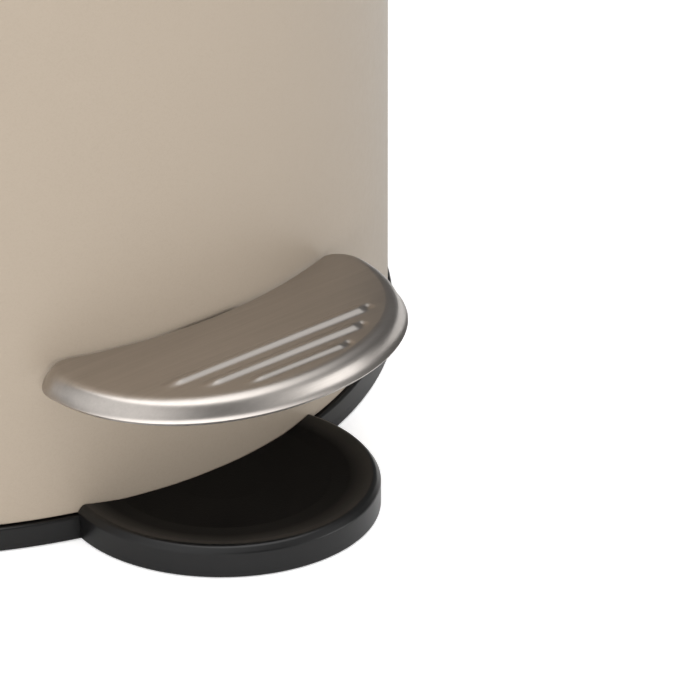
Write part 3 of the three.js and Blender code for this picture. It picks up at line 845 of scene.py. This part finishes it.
hole_corners = [
    (-hole_half, hole_low, hole_round),
    (hole_half, hole_low, hole_round),
    (hole_half, hole_high, hole_round),
    (-hole_half, hole_high, hole_round),
]
cut(bucket, along_x(slab("hand_hole", hole_corners, -200, 200)))
fitted(shaded(bucket), "bucket", bucket_plastic, "bucket_plastic", "inner_bucket")

# ---- Hinge bracket, its rivets and the hinge pin ----
# A bracket of pressed steel follows the back of the body under the lid. Two zinc-plated rivets hold it,
# and its two ears carry the pin that the lid turns on.
hinge_steel = metal("hinge_steel", (0.52, 0.52, 0.51), (0.28, 0.42), (160, 160, 1500), 0.12)
bracket_low, bracket_high = box("hinge_bracket")
pin_low, pin_high = box("hinge_pin")
hinge_y = (pin_low.y + pin_high.y) / 2
hinge_z = (pin_low.z + pin_high.z) / 2
bracket_inner = body_r + 0.35
bracket_outer = bracket_inner + 2.0
bracket_top = 416.0
ear_out = 11.4
ear_in = 9.2
ear_r = bracket_high.y - hinge_y
plate_ring = [
    (bracket_inner, bracket_low.z),
    (bracket_outer, bracket_low.z),
    (bracket_outer, bracket_top),
    (bracket_inner, bracket_top),
]
bracket = turned("pressed_bracket", plate_ring, sides=288)
bracket_corners = [
    (-bracket_high.x, bracket_low.z, 6),
    (bracket_high.x, bracket_low.z, 6),
    (bracket_high.x, bracket_top, 6),
    (-bracket_high.x, bracket_top, 6),
]
combined(bracket, [facing_back(slab("trim", bracket_corners, 100, 200))], "INTERSECT")
ear_shape = [
    (bracket_inner, bracket_low.z + 3),
    (bracket_inner + 3.5, bracket_low.z + 1, 2),
    (hinge_y + ear_r, hinge_z - 4, 3),
    (hinge_y + ear_r, hinge_z + ear_r, ear_r - 0.2),
    (hinge_y - ear_r, hinge_z + ear_r, ear_r - 0.2),
    (hinge_y - ear_r, hinge_z - 4, 3),
    (bracket_inner, bracket_top),
]
ears = [along_x(slab("ear", ear_shape, x, x + ear_out - ear_in, 8)) for x in (-ear_out, ear_in)]
joined(bracket, *ears)
cut(bracket, along_x(drum(pin_bore, -30, 30, (hinge_y, hinge_z), 48)))
eased(bracket, 0.35)
fitted(shaded(bracket), "body", hinge_steel, "bracket_steel", "hinge_bracket")


def rivet(name, node_name, face):
    """A domed rivet along Y: its head stands on the face, its tail is set inside."""
    low, high = box(node_name)
    middle = (low + high) / 2
    head_r = (high.x - low.x) / 2
    shank_r = 2.0
    profile = [
        (0, low.y),
        (shank_r, low.y),
        (shank_r, face - 0.1),
        (head_r, face - 0.1, 0.2),
        (head_r - 0.5, high.y - 0.3, 0.7),
        (0, high.y),
    ]
    made = turned(name, profile, 48)
    if low.y < inner_r - 3:
        tail_top = low.y + 1.4
        tail = [(0, low.y), (head_r - 0.6, low.y, 0.6), (head_r, tail_top, 0.4), (0, tail_top)]
        joined(made, turned("tail", tail, 48))
    along_y(moved(made, middle.z, middle.x, 0))
    fitted(shaded(made), "body", zinc, "zinc_steel", node_name)


rivet("set_rivet_left", "bracket_rivet_left", bracket_outer)
rivet("set_rivet_right", "bracket_rivet_right", bracket_outer)
pin_profile = [
    (0, pin_low.x),
    (4.0, pin_low.x, 0.8),
    (4.0, pin_low.x + 1.6, 0.2),
    (2.5, pin_low.x + 1.6),
    (2.5, pin_high.x - 1.6),
    (4.0, pin_high.x - 1.6, 0.2),
    (4.0, pin_high.x, 0.8),
    (0, pin_high.x),
]
hinge_pin = along_x(turned("headed_pin", pin_profile, 48, centre=(hinge_y, hinge_z)))
fitted(shaded(hinge_pin), "body", zinc, "zinc_steel", "hinge_pin")

# ---- Push rod, its foot and its guide ----
# A plated steel rod stands behind the bucket. Its nylon foot rests on the lever, a nylon block riveted to
# the body guides it, and its flattened top is slotted for the crank pin of the lid.
nylon = plastic("nylon", (0.62, 0.6, 0.53), (0.4, 0.55), 0.12)
rod_low, rod_high = box("push_rod")
foot_low, foot_high = box("rod_foot")
crank_low, crank_high = box("crank_pin")
crank_y = (crank_low.y + crank_high.y) / 2
crank_z = (crank_low.z + crank_high.z) / 2
rod_x = (foot_low.x + foot_high.x) / 2
rod_y = (foot_low.y + foot_high.y) / 2
rod_r = 2.0
eye_half = 1.8
rod_top = rod_high.z - 9
rod_shape = [(0, rod_low.z), (rod_r, rod_low.z, 0.4), (rod_r, rod_top), (0, rod_top)]
rod = turned("round_rod", rod_shape, 48, centre=(rod_x, rod_y))
eye_corners = [
    (rod_low.y, crank_z - 5.6, 4),
    (rod_high.y, crank_z - 5.6, 2.5),
    (rod_high.y, crank_z + 5.6, 4),
    (rod_low.y, crank_z + 5.6, 4),
]
eye = along_x(slab("eye", eye_corners, rod_x - eye_half, rod_x + eye_half, 8))
joined(rod, eye)
slot_corners = [
    (rod_low.y + 2.1, crank_z - 2.9, 2.8),
    (rod_high.y - 1.9, crank_z - 2.9, 1.9),
    (rod_high.y - 1.9, crank_z + 2.9, 1.9),
    (rod_low.y + 2.1, crank_z + 2.9, 2.8),
]
cut(rod, along_x(slab("eye_slot", slot_corners, 0, 20, 8)))
eased(rod, 0.2)
drawn_steel = metal("drawn_rod", (0.55, 0.56, 0.57), (0.28, 0.4), (1300, 1300, 40), 0.1)
fitted(shaded(rod), "rod", drawn_steel, "zinc_steel", "push_rod")
foot_r_low = (foot_high.x - foot_low.x) / 2
foot_profile = [
    (0, foot_low.z),
    (foot_r_low, foot_low.z, 1.6),
    (foot_r_low, foot_high.z, 0.6),
    (2.3, foot_high.z, 0.3),
    (2.3, foot_low.z + 2.7),
    (0, foot_low.z + 2.7),
]
nylon_foot = turned("nylon_foot", foot_profile, 64, centre=(rod_x, rod_y))
fitted(shaded(nylon_foot), "rod", nylon, "nylon", "rod_foot")
guide_low, guide_high = box("rod_guide")
guide_corners = [
    (guide_low.x, guide_low.y, 3),
    (guide_high.x, guide_low.y, 3),
    (guide_high.x, guide_high.y, 0.6),
    (guide_low.x, guide_high.y, 0.6),
]
guide = slab("nylon_guide", guide_corners, guide_low.z, guide_high.z)
cut(guide, drum(2.5, guide_low.z - 1, guide_high.z + 1, (rod_x, rod_y), 48))
guide_z = (guide_low.z + guide_high.z) / 2
cut(guide, along_y(drum(2.35, rod_y + 3, 160, (guide_z, rod_x), 32)))
eased(guide, 0.5)
fitted(shaded(guide), "body", nylon, "nylon", "rod_guide")
rivet("set_guide_rivet", "guide_rivet", body_r)

# ---- Lid ----
# A shallow dome of steel sheet with a rolled-down skirt, sprayed like the body. Two studs are welded
# inside it for its arm.
lid_low, lid_high = box("lid_shell")
skirt_high = 440.5
shoulder_r = 141.0
shoulder_z = 448.3
lid_r = lid_high.x


def dome(r):
    """Height of the top of the lid at a radius."""
    return lid_high.z - (lid_high.z - shoulder_z) * (r / shoulder_r) ** 2


def lid_skin(inset):
    """Half of the lid's section from the skirt's edge to the middle, moved inwards."""
    points = [(lid_r - inset, lid_low.z), (lid_r - inset, skirt_high)]
    across, up_by = lid_r - shoulder_r, shoulder_z - skirt_high
    for turn in range(10, 90, 10):
        way = math.radians(turn)
        r = shoulder_r + (across - inset) * math.cos(way)
        points.append((r, skirt_high + (up_by - inset) * math.sin(way)))
    for r in range(141, 0, -6):
        points.append((r, dome(r) - inset))
    return points + [(0, lid_high.z - inset)]


lid = turned("pressed_lid", lid_skin(0) + lid_skin(sheet)[::-1], sides=288)
arm_low, arm_high = box("lid_arm")
web_half = 3.0
cut(lid, block((-web_half - 0.4, lid_r - 12, 420), (web_half + 0.4, lid_r + 5, 445)))
fitted(shaded(lid), "lid", paint, "champagne_paint", "lid_shell")
lid_nuts = ("lid_nut_1", "lid_nut_2")
lid_nut_places = [middle_of(name) for name in lid_nuts]
for place in lid_nut_places:
    stud("lid_stud", "lid", place, dome(place.y) - 8, dome(place.y) - 0.5)

# ---- Lid arm ----
# A pressed steel arm: a flange screwed under the lid, a web that runs out to the hinge, a tube for the
# hinge pin, and a short crank that the push rod lifts.
arm_thick = 2.0
flange_from, flange_to = 94.0, 134.0


def under_lid(y):
    """Height of the middle of the arm's flange."""
    return dome(y) - sheet - 0.5 - arm_thick / 2


flange_line = [(y, under_lid(y)) for y in range(int(flange_from), int(flange_to) + 1, 5)]
flange_outline = [(y, z) for y, z, _ in strip(flange_line, arm_thick)]
arm = along_x(slab("pressed_arm", flange_outline, arm_low.x, arm_high.x))
for side in (-1, 1):
    corner = [
        (side * 8, flange_from - 4),
        (side * 30, flange_from - 4),
        (side * 30, flange_from + 10),
        (side * 14, flange_from + 6),
    ]
    cut(arm, slab("corner", corner, 400, 500))
web_shape = [
    (flange_to - 6, under_lid(flange_to) - 4, 1),
    (flange_to + 2, under_lid(flange_to) - 8, 2),
    (crank_y - 4.3, crank_z + 6, 3),
    (crank_y - 4.3, crank_z - 4.3, 4.2),
    (crank_y + 3.6, crank_z - 3.6, 3.5),
    (hinge_y + 3, hinge_z - 5, 3),
    (hinge_y, hinge_z + 5.6, 2),
    (shoulder_r + 1, hinge_z + 5.6, 1),
    (flange_to - 1, under_lid(flange_to)),
    (flange_to - 8, under_lid(flange_to - 8)),
]
web = along_x(slab("web", web_shape, -web_half, web_half, 8))
tube = along_x(drum(ear_r, -8.7, 8.7, (hinge_y, hinge_z), 64))
joined(arm, web, tube)
cut(arm, along_x(drum(pin_bore, -30, 30, (hinge_y, hinge_z), 48)))
cut(arm, along_x(drum(2.15, -30, 30, (crank_y, crank_z), 48)))
cut(arm, *[drum(stud_bore, 400, 500, place[:2], 32) for place in lid_nut_places])
eased(arm, 0.3)
fitted(shaded(arm), "lid", hinge_steel, "bracket_steel", "lid_arm")

# ---- Crank pin and lid nuts ----
# A plated pin is riveted through the crank and keeps the eye of the push rod on by a collar. Two plated
# nuts hold the flange of the arm to the studs.
pin_r = 1.8
collar_r = (crank_high.z - crank_low.z) / 2
crank_profile = [
    (0, crank_low.x),
    (collar_r, crank_low.x, 0.5),
    (collar_r, -web_half - 0.35, 0.2),
    (pin_r, -web_half - 0.35),
    (pin_r, rod_x + eye_half + 0.6),
    (collar_r, rod_x + eye_half + 0.6, 0.2),
    (collar_r, crank_high.x, 0.4),
    (0, crank_high.x),
]
crank_pin = along_x(turned("riveted_crank_pin", crank_profile, 48, centre=(crank_y, crank_z)))
fitted(shaded(crank_pin), "lid", zinc, "zinc_steel", "crank_pin")
for name, place in zip(lid_nuts, lid_nut_places):
    low, high = box(name)
    nut = hexagon("hex_" + name, (high.y - low.y) / 2, low.z, high.z, 2.3, place.x, place.y)
    fitted(nut, "lid", zinc, "zinc_steel", name)

# ---- Lid bumpers ----
# Three soft buttons of black rubber, glued under the edge of the lid. They let it close quietly on the
# rim, with an even gap all round.
for number in (1, 2, 3):
    name = "lid_bumper_%d" % number
    low, high = box(name)
    radius = (high.x - low.x) / 2
    corners = [(0, low.z), (radius - 0.4, low.z, 1.4), (radius, high.z, 0.3), (0, high.z)]
    button = turned("soft_" + name, corners, 48, centre=middle_of(name)[:2])
    fitted(shaded(button), "lid", rubber, "rubber", name)

# ---- Studio ----
# A white floor, which can't be seen from below, and a pale surround that is bright in front and above.
# Three soft lights stand low in front: a strong one, and a weaker one on each side.
bpy.ops.mesh.primitive_plane_add(size=60, location=(0, 0, -0.0003))
ground = bpy.context.active_object
ground.name = "studio_floor"
ground_paint, ground_shader = finish("studio_white", (0.9, 0.9, 0.9), 0.9)
ground_shader.inputs["Emission Color"].default_value = (1, 1, 1, 1)
ground_tree = ground_paint.node_tree
seen = node(ground_tree, "ShaderNodeLightPath").outputs["Is Camera Ray"]
glow = node(ground_tree, "ShaderNodeMath", {0: seen}, operation="MULTIPLY")
glow.inputs[1].default_value = 0.45
ground_tree.links.new(glow.outputs[0], ground_shader.inputs["Emission Strength"])
below = node(ground_tree, "ShaderNodeNewGeometry").outputs["Backfacing"]
solid = node(ground_tree, "ShaderNodeMath", {1: below}, operation="SUBTRACT")
solid.inputs[0].default_value = 1.0
ground_tree.links.new(solid.outputs[0], ground_shader.inputs["Alpha"])
ground.data.materials.append(ground_paint)
world = bpy.data.worlds.new("surround")
bpy.context.scene.world = world
world.use_nodes = True
bpy.context.scene.view_settings.view_transform = "Standard"
sky = world.node_tree
sky_way = node(sky, "ShaderNodeTexCoord").outputs["Generated"]


def away(azimuth, elevation=0.0):
    """The way from the bin to a place round it: azimuth 0 is in front and grows to the right."""
    turn, tilt = math.radians(azimuth), math.radians(elevation)
    return Vector((math.sin(turn) * math.cos(tilt), -math.cos(turn) * math.cos(tilt), math.sin(tilt)))


def along(way):
    """How far each direction of the surround points one way, from -1 to 1."""
    product = node(sky, "ShaderNodeVectorMath", {0: sky_way}, operation="DOT_PRODUCT")
    product.inputs[1].default_value = way
    return product.outputs["Value"]


def step(value, low, high, dark, bright):
    """A soft step of brightness where a value goes from low to high."""
    limits = {"From_Min": low, "From_Max": high, "To_Min": dark, "To_Max": bright}
    soft = node(sky, "ShaderNodeMapRange", {"Value": value}, interpolation_type="SMOOTHSTEP", **limits)
    return soft.outputs["Result"]


# The surround is dim behind, and has a dark upright gap in front, which is closed above.
gap_azimuth = -9.0
height = along(away(0, 90))
front = step(along(away(-38, 4)), -0.4, 0.7, 0.16, 1.3)
off_gap = node(sky, "ShaderNodeMath", {0: along(away(gap_azimuth + 90))}, operation="ABSOLUTE").outputs[0]
gap = step(off_gap, 0.04, 0.8, 0.16, 1.0)
closed_above = {0: gap, 1: step(height, 0.6, 0.85, 0.0, 1.0)}
open_gap = node(sky, "ShaderNodeMath", closed_above, operation="MAXIMUM")
lower = node(sky, "ShaderNodeMath", {0: front, 1: open_gap.outputs[0]}, operation="MULTIPLY").outputs[0]
upper = step(height, 0.72, 0.94, 0.0, 2.0)
room = node(sky, "ShaderNodeMath", {0: lower, 1: upper}, operation="ADD").outputs[0]
sky.nodes["Background"].inputs["Color"].default_value = (1, 1, 1, 1)
sky.links.new(room, sky.nodes["Background"].inputs["Strength"])


def lamp(name, azimuth, elevation, distance, size, power):
    """A square soft light that looks at the bin."""
    data = bpy.data.lights.new(name, "AREA")
    data.size = size
    data.energy = power
    made = bpy.data.objects.new(name, data)
    bpy.context.scene.collection.objects.link(made)
    way = away(azimuth, elevation)
    made.location = Vector((0, 0, 0.2)) + way * distance
    made.rotation_euler = way.to_track_quat("Z", "Y").to_euler()
    return made


lamp("key", -85, 20, 2.8, 2.0, 2).visible_glossy = False
lamp("fill", 42, 5, 2.4, 1.0, 7)
lamp("front", -34, 3, 2.2, 0.8, 25).visible_glossy = False

camera_data = bpy.data.cameras.new("camera")
camera_data.lens = 1000
camera_data.clip_end = 100
camera = bpy.data.objects.new("camera", camera_data)
bpy.context.scene.collection.objects.link(camera)
bpy.context.scene.camera = camera
azimuth, elevation = -40.825, 27.617
right = away(azimuth + 90)
back = away(azimuth, elevation)
up = back.cross(right)
aim = right * 0.1351 + up * -0.0097
camera.location = aim + back * 5.615
camera.rotation_euler = back.to_track_quat("Z", "Y").to_euler()
